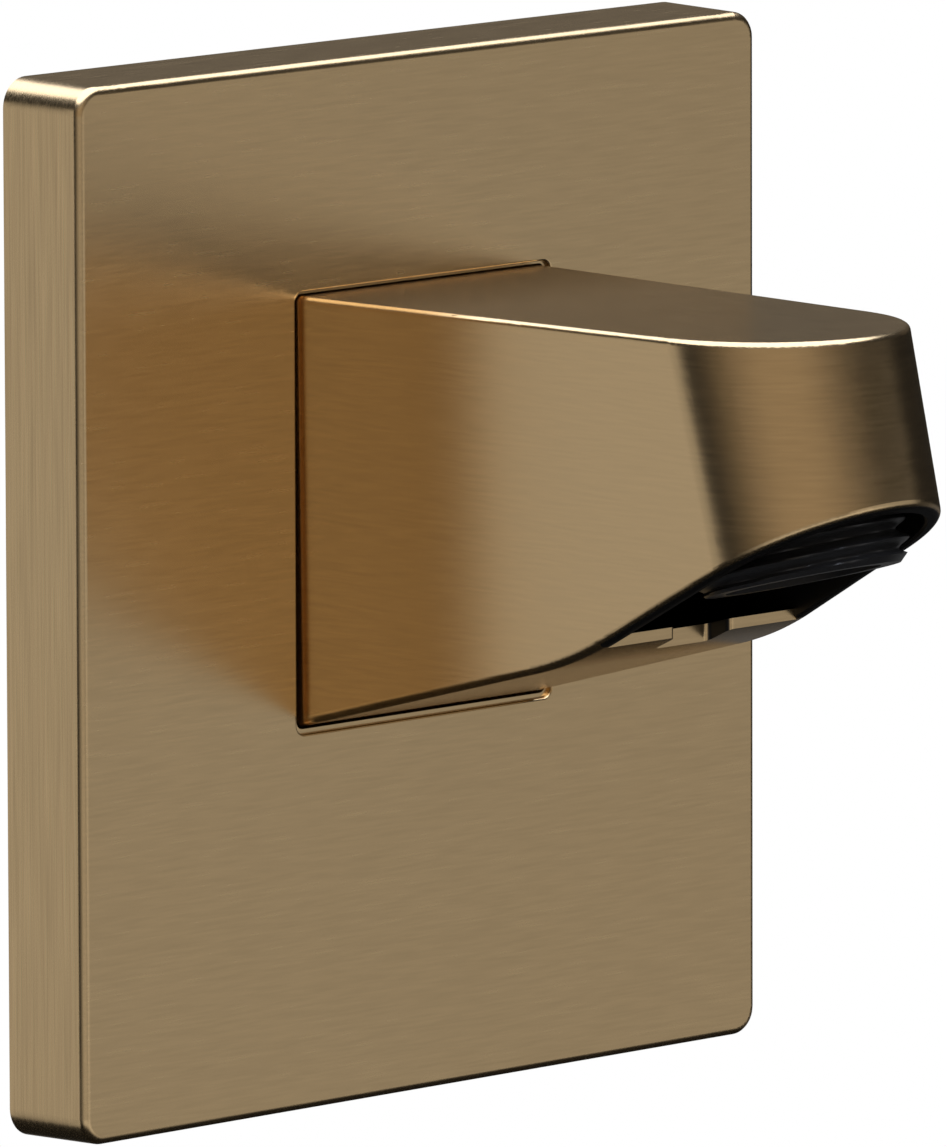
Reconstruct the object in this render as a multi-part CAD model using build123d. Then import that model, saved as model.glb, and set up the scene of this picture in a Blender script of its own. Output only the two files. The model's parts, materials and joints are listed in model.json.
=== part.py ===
"""Wall shower arm: a tapering hollow hood with a hidden outlet nipple, on a rectangular wall plate.

Millimetres. The inlet axis is the Y axis and the wall plane is y = 0. +X is to the right when
facing the wall, +Y goes into the wall and +Z is up. "out" is the distance in front of the plate's
face, so y = -(plate_depth + out).
"""
from build123d import *
from math import cos, radians, sin, tan
import os

# Wall plate
plate_width = 90.0
plate_height = 100.0
plate_depth = 10.0
plate_drop = 7.2            # plate centre below the inlet axis
plate_draft = 1.42          # degrees, the back is larger than the face
plate_corner_r = 2.6
plate_edge_r = 0.8
pocket_corner_r = 1.5
plate_face_t = 2.5
plate_wall = 4.0
window_corner_r = 1.0
window_edge_r = 0.25
window_side_gap = 0.6       # between the arm and the window, at the plate's face
window_top_gap = 0.4
window_bottom_gap = 0.85
window_step = 0.5           # depth of the step round the window, in front of its lip
window_lip_t = 1.0          # lip that closes in on the arm
window_lip_gap = 0.15
collar_wall = 2.8
collar_setback = 1.5        # collar's rear edge in front of the wall

# Gasket behind the plate and friction seal in the window
gasket_width = 2.4
gasket_t = 2.0
seal_depth = 2.5
seal_width = 1.2            # seal's reach into the collar
seal_setback = 1.0          # seal in front of the collar's rear edge
seal_gap = 0.05

# Arm hood
arm_top = 20.7              # flat top above the inlet axis
arm_width = 32.8            # at the plate's face, along the top
arm_taper = 3.4             # degrees on each side, narrower towards the tip
side_draft = 0.4            # degrees, narrower towards the underside
tip_centre = 45.0           # out, centre of the tip's rounding at the top
outlet_tilt = 15.0          # degrees from plumb, outwards: tip rounding and outlet
root_bottom = -20.55        # level underside inside the window
floor_angle = 15.0          # degrees, the underside's first slope
floor_start = -1.0          # out, where the slope begins
mouth_angle = 29.5          # degrees, slope of the open mouth
mouth_break = 33.75         # out, where the two slopes would cross
root_blend_r = 8.0
mouth_blend_r = 40.0
hood_wall = 2.0             # ceiling and floor
side_wall = 1.65            # sides and tip
mouth_chamfer = 0.25        # hollow's edge round the mouth
hood_setback = 2.0          # hood's rear end in front of the wall
top_edge_r = 0.65
bottom_edge_r = 0.85
floor_edge = 37.1           # out, front edge of the floor at the mouth
notch_width = 7.2
notch_depth = 2.9
notch_corner_r = 0.6

# Inlet body: flange, threaded shank and spigot
flange_t = 4.0
flange_inset = 0.5          # flange's rear face in front of the hood's rear end
flange_gap = 0.15
thread_r = 10.48            # half-inch pipe thread of the inlet, outer radius
inlet_reach = 30.0          # shank's end behind the wall
thread_chamfer = 1.2
inlet_bore_r = 4.75
spigot_r = 6.5
spigot_length = 14.0
spigot_chamfer = 0.6
groove_depth = 1.5
groove_width = 2.2
groove_pitch = 4.6
groove_start = 4.4          # flange's front face to the first groove's middle

# Screws through the flange into the hood's corner bosses
boss_length = 9.0
boss_bite = 0.8             # how far a boss is sunk into the walls
flange_screw_r = 1.75
flange_screw_length = 11.5
flange_screw_head_r = 3.0
head_edge = 0.5             # between a screw's head and the hood's wall
screw_clearance = 0.25
thread_fit = 0.05
hole_spare = 0.5            # blind hole beyond the screw's end

# Waterway: socket, swept tube and outlet nipple
socket_gap = 0.15
socket_wall = 2.3
socket_end_gap = 0.3
socket_end_t = 2.0
tube_wall = 2.0
tube_gap = 0.5              # under the hood's ceiling
tube_side_gap = 0.6         # beside the heads of the ear screws
tube_bend_r = 9.0
tube_lead = 3.6             # straight tube in front of the socket
tube_rise_run = 16.5        # out distance over which the tube climbs
outlet_inset = 1.05         # outlet axis behind the middle of the tip's rounding
nipple_reach = 24.45        # hood's top to the nipple's end, along the outlet axis
nipple_length = 12.4
nipple_wall = 3.08
nipple_bore_depth = 8.5
collar_room = 1.115         # beside the nipple's end, for the shower head's collar

# Ears of the waterway, screwed up to bosses under the hood's ceiling
ear_back = 11.0             # behind the outlet axis
ear_side_gap = 0.4          # between a boss and the hood's side wall
ear_r = 2.7
ear_t = 3.0
ear_level = 6.0             # ear's upper face below the hood's top, along the outlet axis
ear_boss_r = 2.8
ear_screw_r = 1.5
ear_screw_bite = 5.2
ear_screw_head_r = 2.7
ear_screw_head_t = 2.0
drive_r = 1.3               # recess in a screw's head
drive_depth = 1.1

o_ring_squeeze = 0.02       # gap left around a seated ring

far = 200.0                 # beyond every piece

face_y = -plate_depth
hood_rear_y = -hood_setback
flange_rear_y = hood_rear_y - flange_inset
flange_front_y = flange_rear_y - flange_t
taper_run = tan(radians(arm_taper))
floor_run = tan(radians(floor_angle))
mouth_run = tan(radians(mouth_angle))
tilt_run = tan(radians(outlet_tilt))
plate_growth = plate_depth * tan(radians(plate_draft))
boss_r = flange_screw_head_r + head_edge + boss_bite
outlet_out = tip_centre - outlet_inset
seal_rear_y = -collar_setback - seal_setback
seal_front_y = seal_rear_y - seal_depth
lip_front_y = face_y + window_step
lip_rear_y = lip_front_y + window_lip_t


def y_at(out):
    """Y of a place that lies out millimetres in front of the plate's face."""
    return face_y - out


def wall_plane(y, z=0.0):
    """Sketch plane parallel to the wall: local x is +X, local y is +Z, normal away from the wall."""
    return Plane(origin=(0, y, z), x_dir=(1, 0, 0), z_dir=(0, -1, 0))


outlet_plane = Plane(
    origin=(0, y_at(outlet_out), arm_top),
    x_dir=(1, 0, 0),
    z_dir=(0, -sin(radians(outlet_tilt)), -cos(radians(outlet_tilt))),
)


def outlet_rod(radius, start, length, x=0.0, back=0.0):
    """Cylinder along the outlet axis; start is measured down that axis from the hood's top."""
    place = outlet_plane * Pos(x, -back, start)
    return place * Cylinder(radius, length, align=(Align.CENTER, Align.CENTER, Align.MIN))


def wall_rod(radius, rear_y, length, x=0.0, z=0.0):
    """Cylinder along Y that starts at rear_y and runs away from the wall."""
    place = wall_plane(rear_y) * Pos(x, z, 0)
    return place * Cylinder(radius, length, align=(Align.CENTER, Align.CENTER, Align.MIN))


def turned(points):
    """Solid of revolution about the inlet axis from (radius, y) points."""
    return revolve(make_face(Polyline(*points, close=True)), Axis.Y)


def cross_profile(points):
    """Prism across the whole width from (out, z) points of a closed outline."""
    outline = Plane.YZ * make_face(Polyline(*[(y_at(out), z) for out, z in points], close=True))
    return extrude(outline, far / 2, both=True)


# Arm hood

def side_half_width(out, z):
    """Outer half width of the arm at a place."""
    return arm_width / 2 - taper_run * out - (arm_top - z) * tan(radians(side_draft))


def outlet_half_room(down, back=0.0):
    """Half width of the hollow beside a place given along the outlet axis and behind it."""
    tilt = radians(outlet_tilt)
    out = outlet_out + down * sin(tilt) - back * cos(tilt)
    z = arm_top - down * cos(tilt) - back * sin(tilt)
    return side_half_width(out, z) - side_wall / cos(radians(arm_taper))


nipple_r = outlet_half_room(nipple_reach) - collar_room
nipple_top = nipple_reach - nipple_length
ear_bottom = ear_level + ear_t + ear_screw_head_t
ear_spread = outlet_half_room(ear_bottom, ear_back) - ear_boss_r - ear_side_gap
tube_r = ear_spread - ear_screw_head_r - tube_side_gap
tube_bore_r = tube_r - tube_wall


def plan_outline(z, inset, rear_y):
    """Horizontal section at height z: tapering sides that run tangent into the round tip."""
    centre = tip_centre + (arm_top - z) * tilt_run
    radius = side_half_width(centre, z) * cos(radians(arm_taper)) - inset
    rear_half = side_half_width(face_y - rear_y, z) - inset / cos(radians(arm_taper))
    touch_x = radius * cos(radians(arm_taper))
    touch_y = y_at(centre + radius * sin(radians(arm_taper)))
    rear = Line((-rear_half, rear_y), (rear_half, rear_y))
    right = Line((rear_half, rear_y), (touch_x, touch_y))
    tip = ThreePointArc((touch_x, touch_y), (0, y_at(centre + radius)), (-touch_x, touch_y))
    left = Line((-touch_x, touch_y), (-rear_half, rear_y))
    return Pos(0, 0, z) * make_face([rear, right, tip, left])


def plan_solid(inset, top, rear_y):
    """Ruled body between the arm's sides, from the given top to below the root."""
    levels = (top, root_bottom - hood_wall)
    return loft([plan_outline(z, inset, rear_y) for z in levels], ruled=True)


def floor_level(out):
    """Height of the underside's first slope."""
    return root_bottom + (out - floor_start) * floor_run


def underside_cut():
    """Everything below the level root, the first slope, the blend and the open mouth."""
    root_reach = root_blend_r * tan(radians(floor_angle / 2))
    blend_reach = mouth_blend_r * tan(radians((mouth_angle - floor_angle) / 2))
    slope_cos = cos(radians(floor_angle))
    break_z = floor_level(mouth_break)
    rear = (y_at(-far), root_bottom)
    level_end = (y_at(floor_start - root_reach), root_bottom)
    slope_start_out = floor_start + root_reach * slope_cos
    slope_start = (y_at(slope_start_out), floor_level(slope_start_out))
    slope_end_out = mouth_break - blend_reach * slope_cos
    slope_end = (y_at(slope_end_out), floor_level(slope_end_out))
    mouth_reach = blend_reach * cos(radians(mouth_angle))
    mouth_start = (y_at(mouth_break + mouth_reach), break_z + mouth_reach * mouth_run)
    mouth_end = (y_at(far), break_z + (far - mouth_break) * mouth_run)
    edges = [
        Line(rear, level_end),
        TangentArc(level_end, slope_start, tangent=(-1, 0)),
        Line(slope_start, slope_end),
        TangentArc(slope_end, mouth_start, tangent=(-1, floor_run)),
        Line(mouth_start, mouth_end),
        Polyline(mouth_end, (y_at(far), -far), (y_at(-far), -far), rear),
    ]
    return extrude(Plane.YZ * make_face(edges), far / 2, both=True)


def floor_block(lift, front):
    """Room under the floor's inner face, ended at the mouth by the notched front edge."""
    inner = lift / cos(radians(floor_angle))
    level = root_bottom + lift
    corner = floor_start + (level - root_bottom - inner) / floor_run
    below = cross_profile([
        (-far, level),
        (corner, level),
        (front, floor_level(front) + inner),
        (front, -far),
        (-far, -far),
    ])
    plan = Pos(0, y_at(front - far / 2)) * Rectangle(far, far)
    plan -= Pos(0, y_at(front)) * Rectangle(notch_width, 2 * notch_depth)
    rounded = plan.vertices().filter_by(lambda v: abs(v.X) < notch_width)
    plan = fillet(rounded, notch_corner_r)
    return below & extrude(plan, far, both=True)


def hood_cavity(gap, rear_y):
    """Hollow of the hood, shrunk by a gap on every wall."""
    room = plan_solid(side_wall + gap, arm_top - hood_wall - gap, rear_y)
    return room - floor_block(hood_wall + gap, floor_edge)


def runs_across(edge):
    """True for a straight edge along X."""
    return all(abs((edge % part).X) > 0.99 for part in (0, 0.5, 1))


def hood_block():
    """The hood as a solid block, with its long edges rounded and its rear end left sharp."""
    block = plan_solid(0.0, arm_top, hood_rear_y) - underside_cut()
    top = block.faces().sort_by(Axis.Z)[-1]
    block = fillet([e for e in top.edges() if not runs_across(e)], top_edge_r)
    under = [f for f in block.faces() if f.normal_at(f.center()).Z < -0.5]
    return fillet([e for f in under for e in f.edges() if not runs_across(e)], bottom_edge_r)


def flange_screw_places():
    """X and Z of the four corner bosses, set so that each boss is sunk into the walls."""
    front = face_y - flange_front_y + boss_length
    reach = flange_screw_head_r + head_edge
    high = arm_top - hood_wall - reach
    low = floor_level(front) + hood_wall / cos(radians(floor_angle)) + reach
    across = side_half_width(front, root_bottom) - side_wall - reach
    return [(x, z) for x in (-across, across) for z in (low, high)]


def ear_places():
    """X of the two screws that hold the waterway's ears."""
    return [-ear_spread, ear_spread]


def mouth_rim(hood):
    """Edges between the hollow's walls and the underside, in front of the floor."""
    core = plan_solid((side_wall + bottom_edge_r) / 2, arm_top - 2 * hood_wall, hood_rear_y)
    under = [f for f in hood.faces() if f.normal_at(f.center()).Z < -0.5]
    edges = [e for f in under for e in f.edges() if not runs_across(e)]
    return [e for e in edges if core.is_inside(e.center()) and e.center().Y < y_at(floor_edge)]


def make_arm_hood(block):
    """Hollow shell with corner bosses at the rear and two bosses under the ceiling."""
    hood = block - hood_cavity(0.0, hood_rear_y + hood_setback)
    hood = chamfer(mouth_rim(hood), mouth_chamfer)
    for x, z in flange_screw_places():
        boss = wall_rod(boss_r, flange_front_y, boss_length, x, z)
        hole_depth = flange_screw_length - flange_t + hole_spare
        hood += boss & block
        hood -= wall_rod(flange_screw_r + thread_fit, flange_front_y, hole_depth, x, z)
    for x in ear_places():
        sunk = hood_wall
        boss = outlet_rod(ear_boss_r, -sunk, ear_level + sunk, x, ear_back)
        hood += boss & block
        hole_depth = ear_screw_bite + hole_spare
        hood -= outlet_rod(ear_screw_r + thread_fit, ear_level - hole_depth, hole_depth, x, ear_back)
    return hood


# Wall plate, gasket and seal

def plate_outline(y, grow, corner_r):
    """Rounded rectangle of the plate, grown on all sides, in a plane parallel to the wall."""
    wide = plate_width + 2 * grow
    high = plate_height + 2 * grow
    return wall_plane(y, -plate_drop) * RectangleRounded(wide, high, corner_r)


def window_prism(grow, rear_y, length):
    """Prism of the window's rounded rectangle, grown on all sides."""
    wide = arm_width + 2 * (window_side_gap + grow)
    top = arm_top + window_top_gap + grow
    bottom = floor_level(0) - window_bottom_gap - grow
    place = wall_plane(rear_y, (top + bottom) / 2)
    return extrude(place * RectangleRounded(wide, top - bottom, window_corner_r + grow), length)


def lip_prism():
    """Close-fitting opening in the window's lip."""
    half = side_half_width(face_y - lip_rear_y, arm_top) + window_lip_gap
    top = arm_top + window_lip_gap
    bottom = root_bottom - window_lip_gap
    place = wall_plane(far / 2, (top + bottom) / 2)
    return extrude(place * RectangleRounded(2 * half, top - bottom, top_edge_r + window_lip_gap), far)


def make_wall_plate():
    """Drafted cover, hollow behind, with a collared and lipped window for the arm."""
    back = plate_outline(0, plate_growth, plate_corner_r + plate_growth)
    plate = loft([back, plate_outline(face_y, 0, plate_corner_r)], ruled=True)
    front = plate.faces().sort_by(Axis.Y)[0]
    plate = fillet(front.edges(), plate_edge_r)
    pocket_depth = plate_depth - plate_face_t
    pocket = plate_outline(-pocket_depth, plate_growth - plate_wall, pocket_corner_r)
    plate -= extrude(pocket, -pocket_depth)
    rebate = plate_outline(-gasket_t, plate_growth - plate_wall + gasket_width, pocket_corner_r)
    plate -= extrude(rebate, -gasket_t)
    plate += window_prism(collar_wall, -collar_setback, plate_depth - collar_setback - plate_face_t / 2)
    plate -= lip_prism()
    plate -= window_prism(0.0, lip_front_y, far)
    plate -= window_prism(0.0, far / 2, far / 2 - lip_rear_y)
    plate -= window_prism(seal_width, far / 2, far / 2 - seal_front_y)
    rim = [e for e in plate.edges() if abs(e.center().Y - face_y) < 0.01]
    return fillet(rim, window_edge_r)


def make_plate_gasket():
    """Flat ring in the rebate behind the plate's rim."""
    outer = plate_growth - plate_wall + gasket_width - seal_gap
    ring = plate_outline(-gasket_t, outer, pocket_corner_r)
    ring -= plate_outline(-gasket_t, outer - gasket_width, pocket_corner_r)
    return extrude(ring, -gasket_t)


def make_window_seal():
    """Rubber ring between the window's collar and the arm's root."""
    ring = window_prism(seal_width - seal_gap, seal_rear_y, seal_depth - seal_gap)
    below = Pos(0, 0, root_bottom - seal_gap - far / 2) * Box(far, far, far)
    root = plan_solid(-seal_gap, arm_top + seal_gap, seal_rear_y + seal_depth) - below
    return ring - root


# Inlet body and its sealing rings

def groove_middles():
    """Y of the middle of each ring groove on the spigot."""
    return [flange_front_y - groove_start - i * groove_pitch for i in range(2)]


def make_inlet_body():
    """One brass piece: threaded shank behind the wall, flange in the hood's rear end, ringed spigot."""
    tip_y = flange_front_y - spigot_length
    body = turned([
        (inlet_bore_r, inlet_reach),
        (thread_r - thread_chamfer, inlet_reach),
        (thread_r, inlet_reach - thread_chamfer),
        (thread_r, flange_front_y),
        (spigot_r, flange_front_y),
        (spigot_r, tip_y + spigot_chamfer),
        (spigot_r - spigot_chamfer, tip_y),
        (inlet_bore_r, tip_y),
    ])
    slab = Pos(0, (flange_rear_y + flange_front_y) / 2, 0) * Box(far, flange_t, far)
    flange = hood_cavity(flange_gap, far) & slab
    body += flange - wall_rod(inlet_bore_r, far / 2, far)
    for y in groove_middles():
        ring = wall_rod(far / 4, y + groove_width / 2, groove_width)
        body -= ring - wall_rod(spigot_r - groove_depth, y + groove_width / 2, groove_width)
    for x, z in flange_screw_places():
        body -= wall_rod(flange_screw_r + screw_clearance, flange_rear_y, flange_t, x, z)
        body -= countersink(screw_clearance / 2, x, z)
    return body


def countersink(gap, x, z):
    """Cone of a flat screw head that ends flush with the flange's rear face."""
    wide = flange_screw_head_r + gap
    narrow = flange_screw_r
    cone = Cone(wide, narrow, wide - narrow, align=(Align.CENTER, Align.CENTER, Align.MIN))
    return wall_plane(flange_rear_y) * Pos(x, z, 0) * cone


def make_flange_screw(x, z):
    """Flat-head screw with a hexagonal drive recess."""
    screw = countersink(0.0, x, z) + wall_rod(flange_screw_r, flange_rear_y, flange_screw_length, x, z)
    drive = wall_plane(flange_rear_y) * Pos(x, z, 0) * RegularPolygon(drive_r, 6)
    return screw - extrude(drive, drive_depth)


def make_spigot_ring(y):
    """Seated sealing ring: fills the groove's depth up to the socket's wall."""
    inner = spigot_r - groove_depth + o_ring_squeeze
    outer = spigot_r + socket_gap - o_ring_squeeze
    section = Pos((inner + outer) / 2, y) * Circle((outer - inner) / 2)
    return revolve(section, Axis.Y)


# Waterway

tube_level = arm_top - hood_wall - tube_gap - tube_r
socket_rear_y = flange_front_y - socket_end_gap
socket_end_y = flange_front_y - spigot_length - socket_end_gap
tube_start_y = socket_end_y - socket_end_t / 2


def tube_path():
    """Middle line of the tube: level, climbing, level under the ceiling, then down the outlet axis."""
    lead_y = socket_end_y - socket_end_t - tube_lead
    turn_out = outlet_out + (arm_top - tube_level) * tilt_run
    fall = nipple_length / 2 + (arm_top - tube_level) - tube_r
    points = [
        (tube_start_y, 0),
        (lead_y, 0),
        (lead_y - tube_rise_run, tube_level),
        (y_at(turn_out), tube_level),
        (y_at(turn_out + fall * tilt_run), tube_level - fall),
    ]
    return Plane.YZ * FilletPolyline(*points, radius=tube_bend_r)


def make_waterway():
    """Moulded waterway: socket on the spigot, swept tube, threaded outlet nipple and two ears."""
    path = tube_path()
    start = Plane(origin=path @ 0, z_dir=path % 0)
    socket_r = spigot_r + socket_gap + socket_wall
    body = sweep(start * Circle(tube_r), path=path)
    body += wall_rod(socket_r, socket_rear_y, socket_rear_y - socket_end_y + socket_end_t)
    nipple = outlet_rod(nipple_r, nipple_top, nipple_length)
    body += chamfer(nipple.edges().sort_by(Axis.Z)[0], thread_chamfer)
    ears = outlet_plane * Pos(0, -ear_back, ear_level) * SlotCenterToCenter(2 * ear_spread, 2 * ear_r)
    body += extrude(ears, ear_t)
    body -= sweep(start * Circle(tube_bore_r), path=path)
    body -= wall_rod(spigot_r + socket_gap, socket_rear_y, socket_rear_y - socket_end_y)
    body -= wall_rod(tube_bore_r, socket_end_y, socket_end_t)
    body -= outlet_rod(nipple_r - nipple_wall, nipple_reach - nipple_bore_depth, nipple_bore_depth)
    for x in ear_places():
        body -= outlet_rod(ear_screw_r + screw_clearance, ear_level, ear_t, x, ear_back)
    return body


def make_ear_screw(x):
    """Round-head screw up through an ear into its boss."""
    under = ear_level + ear_t
    screw = outlet_rod(ear_screw_r, ear_level - ear_screw_bite, ear_screw_bite + ear_t, x, ear_back)
    screw += outlet_rod(ear_screw_head_r, under, ear_screw_head_t, x, ear_back)
    drive = outlet_plane * Pos(x, -ear_back, under + ear_screw_head_t) * RegularPolygon(drive_r, 6)
    return screw - extrude(drive, -drive_depth)


pieces = {
    "wall_plate": make_wall_plate(),
    "plate_gasket": make_plate_gasket(),
    "window_seal": make_window_seal(),
    "arm_hood": make_arm_hood(hood_block()),
    "inlet_body": make_inlet_body(),
    "waterway": make_waterway(),
}
for number, (x, z) in enumerate(flange_screw_places(), 1):
    pieces[f"flange_screw_{number}"] = make_flange_screw(x, z)
for number, y in enumerate(groove_middles(), 1):
    pieces[f"spigot_ring_{number}"] = make_spigot_ring(y)
for number, x in enumerate(ear_places(), 1):
    pieces[f"ear_screw_{number}"] = make_ear_screw(x)

os.makedirs("parts", exist_ok=True)
for node, shape in pieces.items():
    export_step(shape, f"parts/{node}.step")
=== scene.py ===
"""Wall shower arm in pale brushed bronze: finishes, threads, studio light and camera.

Metres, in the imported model's own frame: the wall plane is y = 0, the inlet axis is the Y axis,
the arm reaches out along -Y and +Z is up. The solids stay as packed, apart from the waterway and the
inlet body, which give way to copies with a cut thread.
"""
import json
import math

import bpy
import numpy as np
from mathutils import Matrix, Vector


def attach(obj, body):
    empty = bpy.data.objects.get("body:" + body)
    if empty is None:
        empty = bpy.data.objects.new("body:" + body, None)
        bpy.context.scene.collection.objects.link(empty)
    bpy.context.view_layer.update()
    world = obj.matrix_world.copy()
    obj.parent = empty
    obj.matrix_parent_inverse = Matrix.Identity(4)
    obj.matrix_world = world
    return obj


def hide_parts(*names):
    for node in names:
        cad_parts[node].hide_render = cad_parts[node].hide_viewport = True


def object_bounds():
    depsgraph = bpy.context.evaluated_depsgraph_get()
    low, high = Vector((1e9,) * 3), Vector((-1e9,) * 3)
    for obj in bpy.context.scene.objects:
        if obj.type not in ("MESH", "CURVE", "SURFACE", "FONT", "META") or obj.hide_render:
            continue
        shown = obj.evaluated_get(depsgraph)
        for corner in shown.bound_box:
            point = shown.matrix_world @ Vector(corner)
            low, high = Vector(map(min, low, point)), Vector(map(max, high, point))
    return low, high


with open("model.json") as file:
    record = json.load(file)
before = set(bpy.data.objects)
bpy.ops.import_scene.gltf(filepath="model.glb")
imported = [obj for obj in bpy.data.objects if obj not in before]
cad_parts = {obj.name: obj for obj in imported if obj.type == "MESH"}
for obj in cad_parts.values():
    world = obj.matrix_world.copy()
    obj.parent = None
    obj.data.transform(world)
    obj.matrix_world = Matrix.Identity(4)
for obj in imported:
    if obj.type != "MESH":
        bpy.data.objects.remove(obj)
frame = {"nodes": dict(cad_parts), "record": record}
cad_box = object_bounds()

MM = 0.001
record = frame["record"]
mounts = {m["name"]: m for m in record["mounts"]}

# Half-inch pipe thread, shared by the inlet and the outlet
THREAD_PITCH = 1.814 * MM
THREAD_DEPTH = 1.162 * MM
THREAD_TURN = 0.41          # turns by which the helix is set round, as the nipple shows it
ROWS_PER_PITCH = 12
STEPS_ROUND = 120

# How a plain pin is found in a solid's mesh
WELD = 0.001 * MM           # points are rounded to this, and equal ones joined
NEAR = 0.01 * MM            # a point this close to a radius or a level is on it
RING_POINTS = 16            # a round edge has at least so many points
CHAMFER_REACH = 1.5 * MM    # the end of the pin is looked for no deeper than this below its crest
LEVEL_SPAN = 0.1 * MM       # a face that spans less than this along the axis is an end face
SHARP_EDGE = math.radians(35)

# Camera: place, aim and focal length solved from the plate's edges
CAMERA_PLACE = (-1.18510, -1.21426, 0.23950)
CAMERA_TARGET = (0.01655, 0.00014, -0.01018)
CAMERA_ROLL = math.radians(-0.172)
CAMERA_RANGE = 50
FRAME_HEIGHT_PX = 1147
FOCAL_PX = 17941.0
SENSOR_MM = 36.0


# Meshes

def grid_faces(rows, columns, start=0):
    """Quads of a grid of rows that close round on themselves."""
    i, j = np.meshgrid(np.arange(rows - 1), np.arange(columns), indexing="ij")
    k = (j + 1) % columns
    low, high = i * columns, (i + 1) * columns
    quads = np.stack([low + j, low + k, high + k, high + j], -1)
    return quads.reshape(-1, 4) + start


def axis_frame(axis):
    """Two unit vectors square to an axis that is square to X, and the axis itself."""
    third = np.array(axis, float) / np.linalg.norm(axis)
    first = np.array([1.0, 0.0, 0.0])
    second = np.cross(third, first)
    return first, second, third


def thread_radius(outer, along, angle):
    """Rounded V thread: the crest is at the outer radius, and the groove follows a right-hand helix.

    The depth is a smoothed triangle wave of (distance along the axis / pitch - angle / full turn).
    """
    phase = along / THREAD_PITCH - angle / (2 * math.pi) - THREAD_TURN
    wave = np.abs(2 * (phase - np.floor(phase)) - 1)
    smooth = wave * wave * (3 - 2 * wave)
    return outer - THREAD_DEPTH * (1 - smooth)


def threaded_wall(centre, axis, outer, start, end, chamfer):
    """Points of a threaded wall, and its number of rows.

    The grid runs along the axis and round it. The radius is that of thread_radius, with the cut fading in
    over the first pitch, and is at most what a 45 degree chamfer leaves: the outer radius less the
    chamfer, plus the distance to the end.
    """
    rows = int(round((end - start) / THREAD_PITCH * ROWS_PER_PITCH)) + 1
    along = np.linspace(start, end, rows)[:, None]
    angle = np.linspace(0, 2 * math.pi, STEPS_ROUND, endpoint=False)[None, :]
    fade = np.minimum(1.0, (along - start) / THREAD_PITCH)
    cut = outer - thread_radius(outer, along, angle)
    radius = np.minimum(outer - fade * cut, outer - chamfer + (end - along))
    first, second, third = axis_frame(axis)
    ring = np.cos(angle)[..., None] * first + np.sin(angle)[..., None] * second
    points = centre + ring * radius[..., None] + along[..., None] * third
    return points.reshape(-1, 3), rows


def merged_copy(node):
    """Points and triangles of a solid's mesh, in the row's frame, with equal points joined."""
    mesh = node.data
    flat = np.empty(3 * len(mesh.vertices), np.float32)
    mesh.vertices.foreach_get("co", flat)
    corners = np.empty(len(mesh.loops), np.int32)
    mesh.loops.foreach_get("vertex_index", corners)
    place = np.array(node.matrix_world)
    points = flat.reshape(-1, 3) @ place[:3, :3].T + place[:3, 3]
    keys, index = np.unique(np.round(points / WELD), axis=0, return_inverse=True)
    return keys * WELD, index.reshape(-1)[corners.reshape(-1, 3)]


def threaded_piece(node_name, mount_name, material):
    """Copy of a solid whose plain pin and chamfer give way to a cut thread.

    A triangle belongs to the pin when its corners all lie between the chamfer's foot and the crest,
    measured from the mount's axis, and not at one distance along it. The new wall is that of
    threaded_wall.
    """
    mount = mounts[mount_name]
    outer = mount["dims"]["r_mm"] * MM
    centre = np.array(mount["pos_m"], float)
    axis = axis_frame(mount["axis"])[2]
    points, faces = merged_copy(frame["nodes"][node_name])
    along = (points - centre) @ axis
    radius = np.linalg.norm(points - centre - along[:, None] * axis, axis=1)
    on_crest = np.abs(radius - outer) < NEAR
    levels, counts = np.unique(np.round(along[on_crest] / NEAR), return_counts=True)
    rings = levels[counts >= RING_POINTS] * NEAR
    start, shoulder = rings.min(), rings.max()
    end = along[(radius > outer - CHAMFER_REACH) & (along > shoulder - NEAR)].max()
    chamfer = end - shoulder
    on_pin = (radius > outer - chamfer - NEAR) & (radius < outer + NEAR) & (along > start - NEAR)
    span = along[faces].max(axis=1) - along[faces].min(axis=1)
    pin_face = on_pin[faces].all(axis=1) & (span > LEVEL_SPAN)
    wall, rows = threaded_wall(centre, axis, outer, start, end, chamfer)
    quads = grid_faces(rows, STEPS_ROUND, len(points))
    mesh = bpy.data.meshes.new(node_name + "_threaded")
    vertices = np.concatenate([points, wall])
    mesh.from_pydata(vertices.tolist(), [], faces[~pin_face].tolist() + quads.tolist())
    mesh.polygons.foreach_set("use_smooth", np.ones(len(mesh.polygons), dtype=bool))
    mesh.set_sharp_from_angle(angle=SHARP_EDGE)
    mesh.materials.append(material)
    piece = bpy.data.objects.new(mesh.name, mesh)
    bpy.context.scene.collection.objects.link(piece)
    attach(piece, "root")
    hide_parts(node_name)


# Materials

def linear(hex_colour):
    """Linear RGBA from an sRGB hex colour."""
    parts = [int(hex_colour[i:i + 2], 16) / 255 for i in (1, 3, 5)]
    return tuple(c / 12.92 if c <= 0.04045 else ((c + 0.055) / 1.055) ** 2.4 for c in parts) + (1.0,)


def new_material(name):
    """Node material with a Principled shader, its tree and that shader."""
    material = bpy.data.materials.new(name)
    material.use_nodes = True
    tree = material.node_tree
    return material, tree, tree.nodes["Principled BSDF"]


def add(tree, kind, *inputs, named=None, out=0, **settings):
    """New node of a kind with its settings; gives one of its outputs.

    Inputs come in order, or by name or number in named: a socket is linked, and a plain value is set.
    """
    node = tree.nodes.new("ShaderNode" + kind)
    for key, value in settings.items():
        setattr(node, key, value)
    for key, value in [*enumerate(inputs), *(named or {}).items()]:
        if isinstance(value, bpy.types.NodeSocket):
            tree.links.new(value, node.inputs[key])
        else:
            node.inputs[key].default_value = value
    return node.outputs[out]


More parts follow.
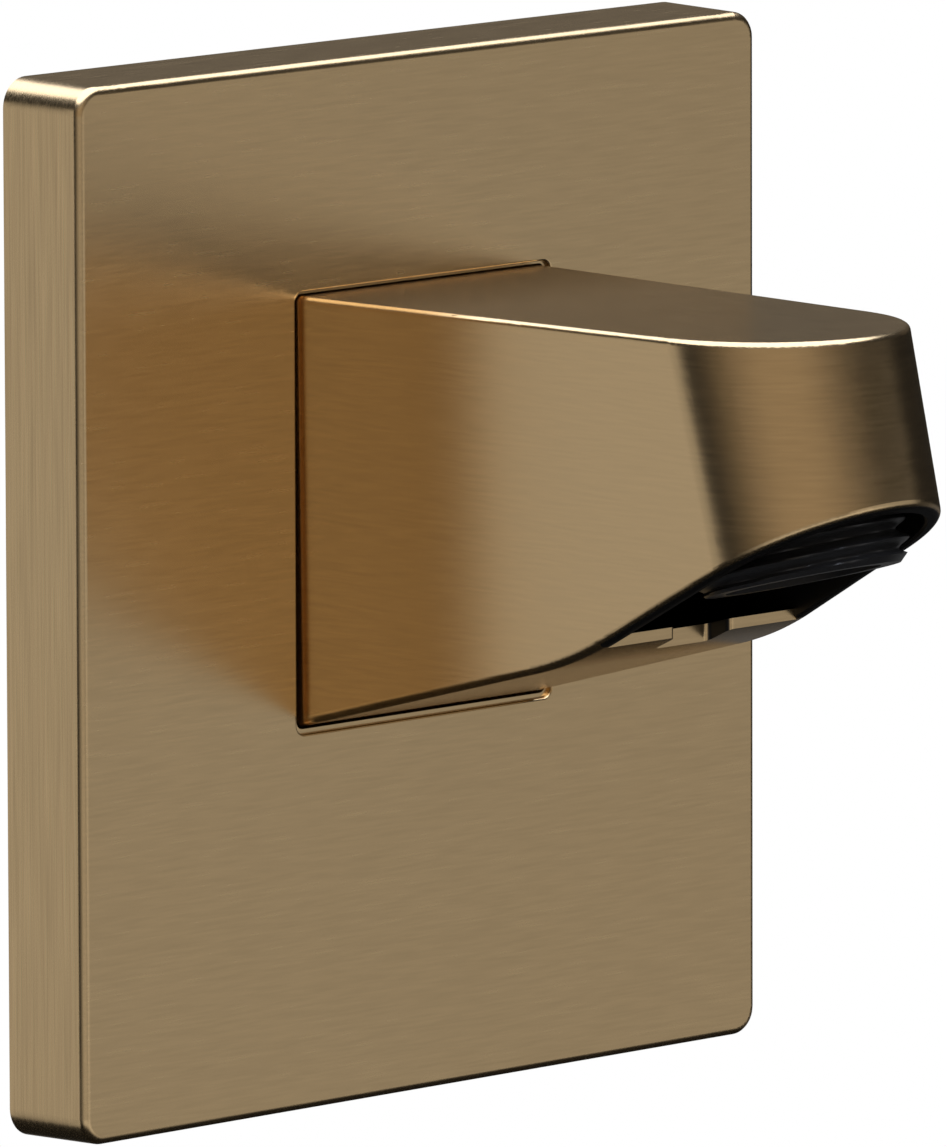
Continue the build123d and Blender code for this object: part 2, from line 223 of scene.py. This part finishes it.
# Numbers of a Mix node's colour sockets, and the settings of one that mixes colours
MIX_AT_0, MIX_AT_1, MIXED = 6, 7, 2
COLOUR_MIX = {"data_type": "RGBA", "clamp_factor": False, "out": MIXED}


def streak_noise(tree, place, sizes):
    """Brushing: noise drawn out along the strokes and fine across them, with its X, Y and Z sizes."""
    stretched = add(tree, "Mapping", place, named={"Scale": [1 / size for size in sizes]})
    return add(tree, "TexNoise", stretched, named={"Scale": 1.0, "Detail": 1.0, "Roughness": 0.5})


def facing(tree, axis, low=0.6, high=0.8):
    """1 where the surface faces along a row axis, either way, and 0 elsewhere."""
    normal = add(tree, "NewGeometry", out="Normal")
    part = add(tree, "SeparateXYZ", normal, out=axis)
    size = add(tree, "Math", part, operation="ABSOLUTE")
    return add(tree, "MapRange", size, low, high)


def blend(tree, a, b, factor):
    """a where the factor is 0, b where it is 1, for two grey sockets."""
    step = add(tree, "Math", b, a, operation="SUBTRACT")
    return add(tree, "Math", step, factor, a, operation="MULTIPLY_ADD")


# Pale bronze: a thin metal coat on brushed metal, satin, with warm brown where it mirrors itself
BRONZE = "#DDBF91"
BLACK = (0.0, 0.0, 0.0, 1.0)
# Length and width of strokes; real ones are finer, and these are as coarse as they need to be to show
FINE_STROKE = (5 * MM, 0.3 * MM)
COARSE_STROKE = (14 * MM, 0.22 * MM)
# On the plate's sides the strokes are deeper by this factor, about the same mean
SIDE_DEPTH = 2.4
CLOUD_SIZE = 35 * MM
CLOUD_DEPTH = 0.04
GLOSS_SPREAD = 0.06
# Dull black painted shade in the hood's hollow, on the notch's ends and on the mouth's rim, so these stay
# dark
SHADE_BLACK = "#0B0A09"
SHADE_BLACK_ROUGH = 0.5


def brushed_bronze(name, streaks, rough, contrast, shade_mask=None):
    """Satin metal coat whose tone and gloss follow the brushing that streaks(tree, place) gives.

    The shade mask function, where given, is called with (tree, place) and is 1 where shade is painted:
    there a dull black takes the place of the metal.
    """
    material, tree, shader = new_material(name)
    place = add(tree, "TexCoord", out="Object")
    brush = streaks(tree, place)
    cloud = add(tree, "TexNoise", place, named={"Scale": 1 / CLOUD_SIZE, "Detail": 2.0})
    cloudy = add(tree, "Math", cloud, CLOUD_DEPTH, 1 - CLOUD_DEPTH, operation="MULTIPLY_ADD")
    stroke = add(tree, "Math", brush, 0.5, operation="SUBTRACT")
    tone = add(tree, "Math", stroke, contrast, cloudy, operation="MULTIPLY_ADD")
    gloss = add(tree, "Math", brush, GLOSS_SPREAD, rough - GLOSS_SPREAD / 2, operation="MULTIPLY_ADD")
    colour = add(tree, "Mix", tone, named={MIX_AT_0: BLACK, MIX_AT_1: linear(BRONZE)}, **COLOUR_MIX)
    tree.links.new(colour, shader.inputs["Base Color"])
    tree.links.new(gloss, shader.inputs["Roughness"])
    shader.inputs["Metallic"].default_value = 1.0
    # Painted shade: a dull black in place of the metal where the mask is 1
    if shade_mask:
        coat = {"Base Color": linear(SHADE_BLACK), "Roughness": SHADE_BLACK_ROUGH}
        shade_black_bsdf = add(tree, "BsdfPrincipled", named=coat)
        both = add(tree, "MixShader", shade_mask(tree, place), shader.outputs[0], shade_black_bsdf)
        tree.links.new(both, tree.nodes["Material Output"].inputs["Surface"])
    return material


# Hood's outer form, as in the solids: half width at the plate's face, slopes, tip axis and wall
PLATE_DEPTH = 10 * MM
HOOD_TOP = 20.7 * MM
HOOD_HALF_WIDTH = 16.4 * MM
HOOD_TAPER = math.tan(math.radians(3.4))
HOOD_DRAFT = math.tan(math.radians(0.4))
TIP_CENTRE = 45 * MM
TIP_TILT = math.tan(math.radians(15))
FLOOR_LEVEL = -20.28 * MM
HOOD_FLOOR = 2.05 * MM
HOOD_SKIN = 1.58 * MM
FLOOR_EDGE = 37.3 * MM
MOUTH_TOP = 8 * MM          # the mouth is lower than this below the hood's top
RIM_FACING = (0.4, 0.6)     # the rim's rounded edge counts as facing down from about 30 degrees on


def hood_painted_shade(tree, place):
    """Painted shade: 1 on the hollow's walls and on the mouth's rim, which faces down in front of the
    floor's edge, and there the metal is painted black.

    The walls are nearer to the middle than the outer side by more than the skin, and are above the floor
    or face sideways, as the notch's ends do. Past the tip's axis the distance from the middle is the
    radius about that axis. Here out is the distance from the plate's face, and fall is the depth below
    the hood's top.
    """
    x, y, z = add(tree, "SeparateXYZ", place).node.outputs
    out = add(tree, "Math", y, -1.0, -PLATE_DEPTH, operation="MULTIPLY_ADD")
    fall = add(tree, "Math", HOOD_TOP, z, operation="SUBTRACT")
    tip = add(tree, "Math", fall, TIP_TILT, TIP_CENTRE, operation="MULTIPLY_ADD")
    beyond = add(tree, "Math", out, tip, operation="SUBTRACT")
    past = add(tree, "Math", beyond, 0.0, operation="MAXIMUM")
    past_square = add(tree, "Math", past, past, operation="MULTIPLY")
    square = add(tree, "Math", x, x, past_square, operation="MULTIPLY_ADD")
    reach = add(tree, "Math", square, operation="SQRT")
    straight = add(tree, "Math", out, tip, operation="MINIMUM")
    root_half = HOOD_HALF_WIDTH - HOOD_SKIN
    tapered = add(tree, "Math", straight, -HOOD_TAPER, root_half, operation="MULTIPLY_ADD")
    half = add(tree, "Math", fall, -HOOD_DRAFT, tapered, operation="MULTIPLY_ADD")
    within = add(tree, "Math", reach, half, operation="LESS_THAN")
    below = add(tree, "Math", fall, HOOD_SKIN, operation="GREATER_THAN")
    floor = add(tree, "Math", out, TIP_TILT, FLOOR_LEVEL + HOOD_FLOOR, operation="MULTIPLY_ADD")
    above = add(tree, "Math", z, floor, operation="GREATER_THAN")
    hidden = add(tree, "Math", above, facing(tree, "X"), operation="MAXIMUM")
    room = add(tree, "Math", within, below, operation="MULTIPLY")
    walls = add(tree, "Math", room, hidden, operation="MULTIPLY")
    ahead = add(tree, "Math", out, FLOOR_EDGE, operation="GREATER_THAN")
    under = add(tree, "Math", fall, MOUTH_TOP, operation="GREATER_THAN")
    mouth = add(tree, "Math", ahead, under, operation="MULTIPLY")
    rim = add(tree, "Math", mouth, facing(tree, "Z", *RIM_FACING), operation="MULTIPLY")
    return add(tree, "Math", walls, rim, operation="MAXIMUM")


def plate_streaks(tree, place):
    """Level brushing on the face and along the top and bottom, upright brushing on the two sides."""
    long, wide = FINE_STROKE
    level = streak_noise(tree, place, (long, wide, wide))
    long, wide = COARSE_STROKE
    upright = streak_noise(tree, place, (wide, wide, long))
    deeper = add(tree, "Math", upright, SIDE_DEPTH, (1 - SIDE_DEPTH) / 2, operation="MULTIPLY_ADD")
    return blend(tree, level, deeper, facing(tree, "X"))


def hood_streaks(tree, place):
    """Brushing along the arm: level round the sides and tip, and lengthways on the flat top."""
    long, wide = FINE_STROKE
    level = streak_noise(tree, place, (long, long, wide))
    lengthways = streak_noise(tree, place, (wide, long, wide))
    return blend(tree, level, lengthways, facing(tree, "Z"))


POLYMER_DARK, POLYMER_PALE = "#1E1E1F", "#303031"
POLYMER_GRAIN = 0.12 * MM
POLYMER_GRAIN_DEPTH = 0.01 * MM
POLYMER_ROUGH = 0.34


def moulded_polymer():
    """Black glass-filled polymer: a fine spark-eroded grain on a satin skin."""
    material, tree, shader = new_material("moulded_black_polymer")
    place = add(tree, "TexCoord", out="Object")
    grain = add(tree, "TexNoise", place, named={"Scale": 1 / POLYMER_GRAIN, "Detail": 2.0})
    relief = add(tree, "Bump", named={"Height": grain, "Strength": 0.4, "Distance": POLYMER_GRAIN_DEPTH})
    ends = {MIX_AT_0: linear(POLYMER_DARK), MIX_AT_1: linear(POLYMER_PALE)}
    colour = add(tree, "Mix", grain, named=ends, **COLOUR_MIX)
    tree.links.new(colour, shader.inputs["Base Color"])
    tree.links.new(relief, shader.inputs["Normal"])
    shader.inputs["Roughness"].default_value = POLYMER_ROUGH
    return material


def rubber(name, dark, pale, cell, rough):
    """Rubber or foam whose matt skin is speckled by pores of the given cell size, an eighth as deep."""
    material, tree, shader = new_material(name)
    place = add(tree, "TexCoord", out="Object")
    pores = add(tree, "TexVoronoi", place, named={"Scale": 1 / cell}, out="Distance")
    relief = add(tree, "Bump", named={"Height": pores, "Strength": 0.6, "Distance": cell / 8})
    ends = {MIX_AT_0: linear(dark), MIX_AT_1: linear(pale)}
    colour = add(tree, "Mix", pores, named=ends, **COLOUR_MIX)
    tree.links.new(colour, shader.inputs["Base Color"])
    tree.links.new(relief, shader.inputs["Normal"])
    shader.inputs["Roughness"].default_value = rough
    return material


TOOL_LINE = (4 * MM, 0.09 * MM, 0.09 * MM)
TOOL_LINE_DEPTH = 0.006 * MM
DULL_PATCH = 6 * MM
TOOL_GLOSS_SPREAD = 0.2


def turned_metal(name, bright, dull, rough):
    """Bare metal with fine tool lines square to the inlet's axis and a slightly dulled, uneven skin."""
    material, tree, shader = new_material(name)
    place = add(tree, "TexCoord", out="Object")
    lines = streak_noise(tree, place, TOOL_LINE)
    patches = add(tree, "TexNoise", place, named={"Scale": 1 / DULL_PATCH, "Detail": 4.0})
    least = rough - TOOL_GLOSS_SPREAD / 2
    gloss = add(tree, "Math", lines, TOOL_GLOSS_SPREAD, least, operation="MULTIPLY_ADD")
    relief = add(tree, "Bump", named={"Height": lines, "Strength": 0.5, "Distance": TOOL_LINE_DEPTH})
    ends = {MIX_AT_0: linear(bright), MIX_AT_1: linear(dull)}
    colour = add(tree, "Mix", patches, named=ends, **COLOUR_MIX)
    tree.links.new(colour, shader.inputs["Base Color"])
    tree.links.new(gloss, shader.inputs["Roughness"])
    tree.links.new(relief, shader.inputs["Normal"])
    shader.inputs["Metallic"].default_value = 1.0
    return material


plate_bronze = brushed_bronze("brushed_bronze_plate", plate_streaks, 0.26, 0.22)
# The hood's hollow, the notch's ends and the mouth's rim are painted black as shade
hood_bronze = brushed_bronze("brushed_bronze_hood", hood_streaks, 0.25, 0.20, shade_mask=hood_painted_shade)
polymer = moulded_polymer()
ring_rubber = rubber("moulded_ring_rubber", "#101010", "#1C1C1C", cell=0.25 * MM, rough=0.55)
tan_rubber = rubber("bronze_tinted_rubber", "#6E5030", "#7E5E3A", cell=0.25 * MM, rough=0.45)
foam_rubber = rubber("closed_cell_foam", "#0F0F10", "#2A2A2B", cell=0.6 * MM, rough=0.8)
raw_brass = turned_metal("turned_brass", "#D9B56A", "#B98F4A", rough=0.28)
screw_steel = turned_metal("turned_stainless_steel", "#C9C9C7", "#A9A9A8", rough=0.3)

# A node's own finish comes before the one of its slot
finish_of_slot = {
    "foam_rubber": foam_rubber,
    "seal_rubber": ring_rubber,
    "raw_brass": raw_brass,
    "black_polymer": polymer,
    "screw_steel": screw_steel,
}
finish_of_node = {"wall_plate": plate_bronze, "arm_hood": hood_bronze, "window_seal": tan_rubber}
for entry in record["subparts"]:
    node = frame["nodes"][entry["node"]]
    finish = finish_of_slot.get(entry["material_slot"])
    finish = finish_of_node.get(entry["node"], finish)
    for index in range(len(node.data.materials)):
        node.data.materials[index] = finish

threaded_piece("waterway", "outlet_thread", polymer)
threaded_piece("inlet_body", "inlet_thread", raw_brass)


# Studio

WHITE = "#FFFFFF"
WARM = "#FFEDD4"
COOL = "#E6EEFF"
# Tent panels: azimuth, rise, half width, half height and soft edges in degrees, radiance and colour
PANELS = (
    (117, -9, 34, 21, 4, 4, 0.41, WHITE),
    (147, -9, 7, 21, 3, 4, 0.20, WHITE),
    (234, -13, 42, 9, 34, 4, 0.33, WHITE),
    (234, 13, 42, 17, 34, 4, 0.35, WARM),
    (255, -22, 50, 8, 20, 4, 0.50, WHITE),
    (310, 16, 25, 10, 15, 8, 0.025, WARM),
    (45, 12, 40, 8, 5, 5, 0.048, WARM),
    (40, -20, 45, 9, 10, 4, 0.11, WHITE),
)
TENT_RADIANCE = 0.012
TENT_RADIUS = 3.0
TENT_STEP = 3               # degrees
OPENING = (42, 48, -12, -6)  # azimuths and rises between which the white background shows

FRONT_TURN = math.radians(304)
FRONT_DISTANCE = 0.8
FRONT_LEVEL = -0.14
FRONT_SIZE = (0.95, 0.45)
FRONT_RADIANCE = 0.36
ABOVE_LEVEL = 1.5
ABOVE_SIZE = (3.5, 3.5)
ABOVE_RADIANCE = 3.1

FLOOR_HALF = 0.3
FLOOR_DROP = 0.5            # from the lowest point of the arm
FLOOR_COLOUR = "#E6E6E4"
FLOOR_ROUGH = 0.9


def panel(tree, way, turn, rise, half_turn, half_rise, turn_edge, rise_edge):
    """Soft-edged patch of the tent: 1 within the half angles of its middle, 0 beyond them, in degrees.

    The azimuth is measured from +X towards +Y and the rise from the horizon.
    """
    x, y, z = add(tree, "SeparateXYZ", way).node.outputs
    cos, sin = math.cos(math.radians(turn)), math.sin(math.radians(turn))
    y_along = add(tree, "Math", y, sin, operation="MULTIPLY")
    along = add(tree, "Math", x, cos, y_along, operation="MULTIPLY_ADD")
    x_across = add(tree, "Math", x, -sin, operation="MULTIPLY")
    across = add(tree, "Math", y, cos, x_across, operation="MULTIPLY_ADD")
    swing = add(tree, "Math", across, along, operation="ARCTAN2")
    height = add(tree, "Math", z, operation="ARCSINE")
    lift = add(tree, "Math", height, math.radians(rise), operation="SUBTRACT")
    sides = []
    for angle, half, edge in ((swing, half_turn, turn_edge), (lift, half_rise, rise_edge)):
        size = add(tree, "Math", angle, operation="ABSOLUTE")
        outer, inner = math.radians(half + edge), math.radians(max(half - edge, 0))
        sides.append(add(tree, "MapRange", size, outer, inner, interpolation_type="SMOOTHSTEP"))
    return add(tree, "Math", *sides, operation="MULTIPLY")


def tent_cloth():
    """Cloth that glows dimly all over and more in its panels, one emission for each colour of light."""
    material, tree, _ = new_material("tent_cloth")
    way = add(tree, "VectorMath", add(tree, "TexCoord", out="Object"), operation="NORMALIZE")
    glow = {WHITE: TENT_RADIANCE, WARM: 0.0}
    for *patch, radiance, colour in PANELS:
        lit = panel(tree, way, *patch)
        glow[colour] = add(tree, "Math", lit, radiance, glow[colour], operation="MULTIPLY_ADD")
    lights = [add(tree, "Emission", linear(colour), strength) for colour, strength in glow.items()]
    both = add(tree, "AddShader", *lights)
    tree.links.new(both, tree.nodes["Material Output"].inputs["Surface"])
    material.cycles.emission_sampling = "NONE"
    return material


def light_tent():
    """Tent with soft panels round the arm, unseen by the camera and open behind the arm.

    Points of a sphere: radius times (cos rise cos azimuth, cos rise sin azimuth, sin rise).
    """
    azimuth = np.arange(0, 360, TENT_STEP)
    rise = np.arange(-90, 90 + TENT_STEP, TENT_STEP)
    r, a = np.radians(np.meshgrid(rise, azimuth, indexing="ij"))
    points = TENT_RADIUS * np.stack([np.cos(r) * np.cos(a), np.cos(r) * np.sin(a), np.sin(r)], -1)
    quads = grid_faces(len(rise), len(azimuth))
    middle_rise = np.repeat(rise[:-1] + TENT_STEP / 2, len(azimuth))
    middle_azimuth = np.tile(azimuth + TENT_STEP / 2, len(rise) - 1)
    left, right, low, high = OPENING
    between = (middle_azimuth > left) & (middle_azimuth < right)
    opening = between & (middle_rise > low) & (middle_rise < high)
    mesh = bpy.data.meshes.new("light_tent")
    mesh.from_pydata(points.reshape(-1, 3).tolist(), [], quads[~opening].tolist())
    mesh.materials.append(tent_cloth())
    tent = bpy.data.objects.new("light_tent", mesh)
    tent.visible_camera = False
    bpy.context.scene.collection.objects.link(tent)


def white_background():
    """World that is plain white for every ray."""
    world = bpy.data.worlds.new("white_background")
    world.use_nodes = True
    world.node_tree.nodes["Background"].inputs["Color"].default_value = linear(WHITE)
    bpy.context.scene.world = world


def soft_box(name, shape, size, radiance, colour, place, turn=(0, 0, 0)):
    """Soft box that glows evenly; unturned, it hangs level and shines down."""
    wide, high = size
    share = math.pi / 4 if shape == "DISK" else 1.0
    light = bpy.data.lights.new(name, "AREA")
    light.shape = shape
    light.size = wide
    light.size_y = high
    light.color = linear(colour)[:3]
    light.energy = radiance * math.pi * share * wide * high
    lamp = bpy.data.objects.new(name, light)
    lamp.location = place
    lamp.rotation_euler = turn
    bpy.context.scene.collection.objects.link(lamp)


def studio_lamps():
    """Upright soft box that faces the arm from the front right, and a round one above it."""
    x, y = FRONT_DISTANCE * math.cos(FRONT_TURN), FRONT_DISTANCE * math.sin(FRONT_TURN)
    upright = (math.pi / 2, 0, FRONT_TURN + math.pi / 2)
    soft_box("front_right", "RECTANGLE", FRONT_SIZE, FRONT_RADIANCE, WHITE, (x, y, FRONT_LEVEL), upright)
    soft_box("above", "DISK", ABOVE_SIZE, ABOVE_RADIANCE, COOL, (0, 0, ABOVE_LEVEL))


def pale_floor():
    """Plain pale floor, well below the wall fitting."""
    half = FLOOR_HALF
    level = cad_box[0][2] - FLOOR_DROP
    corners = [(-half, -half, level), (half, -half, level), (half, half, level), (-half, half, level)]
    mesh = bpy.data.meshes.new("floor")
    mesh.from_pydata(corners, [], [(0, 1, 2, 3)])
    material, _, shader = new_material("pale_floor")
    shader.inputs["Base Color"].default_value = linear(FLOOR_COLOUR)
    shader.inputs["Roughness"].default_value = FLOOR_ROUGH
    mesh.materials.append(material)
    floor = bpy.data.objects.new("floor", mesh)
    bpy.context.scene.collection.objects.link(floor)
    floor.visible_glossy = False


def photo_camera():
    """Camera at the solved place, aimed at the solved target, with the solved roll."""
    data = bpy.data.cameras.new("camera")
    data.sensor_fit = "VERTICAL"
    data.sensor_height = SENSOR_MM
    data.lens = FOCAL_PX * SENSOR_MM / FRAME_HEIGHT_PX
    data.clip_end = CAMERA_RANGE
    camera = bpy.data.objects.new("camera", data)
    back = (Vector(CAMERA_PLACE) - Vector(CAMERA_TARGET)).normalized()
    turn = back.to_track_quat("Z", "Y").to_matrix() @ Matrix.Rotation(CAMERA_ROLL, 3, "Z")
    camera.matrix_world = Matrix.Translation(Vector(CAMERA_PLACE)) @ turn.to_4x4()
    bpy.context.scene.collection.objects.link(camera)
    bpy.context.scene.camera = camera


white_background()
light_tent()
studio_lamps()
pale_floor()
photo_camera()
bpy.context.scene.view_settings.view_transform = "Standard"
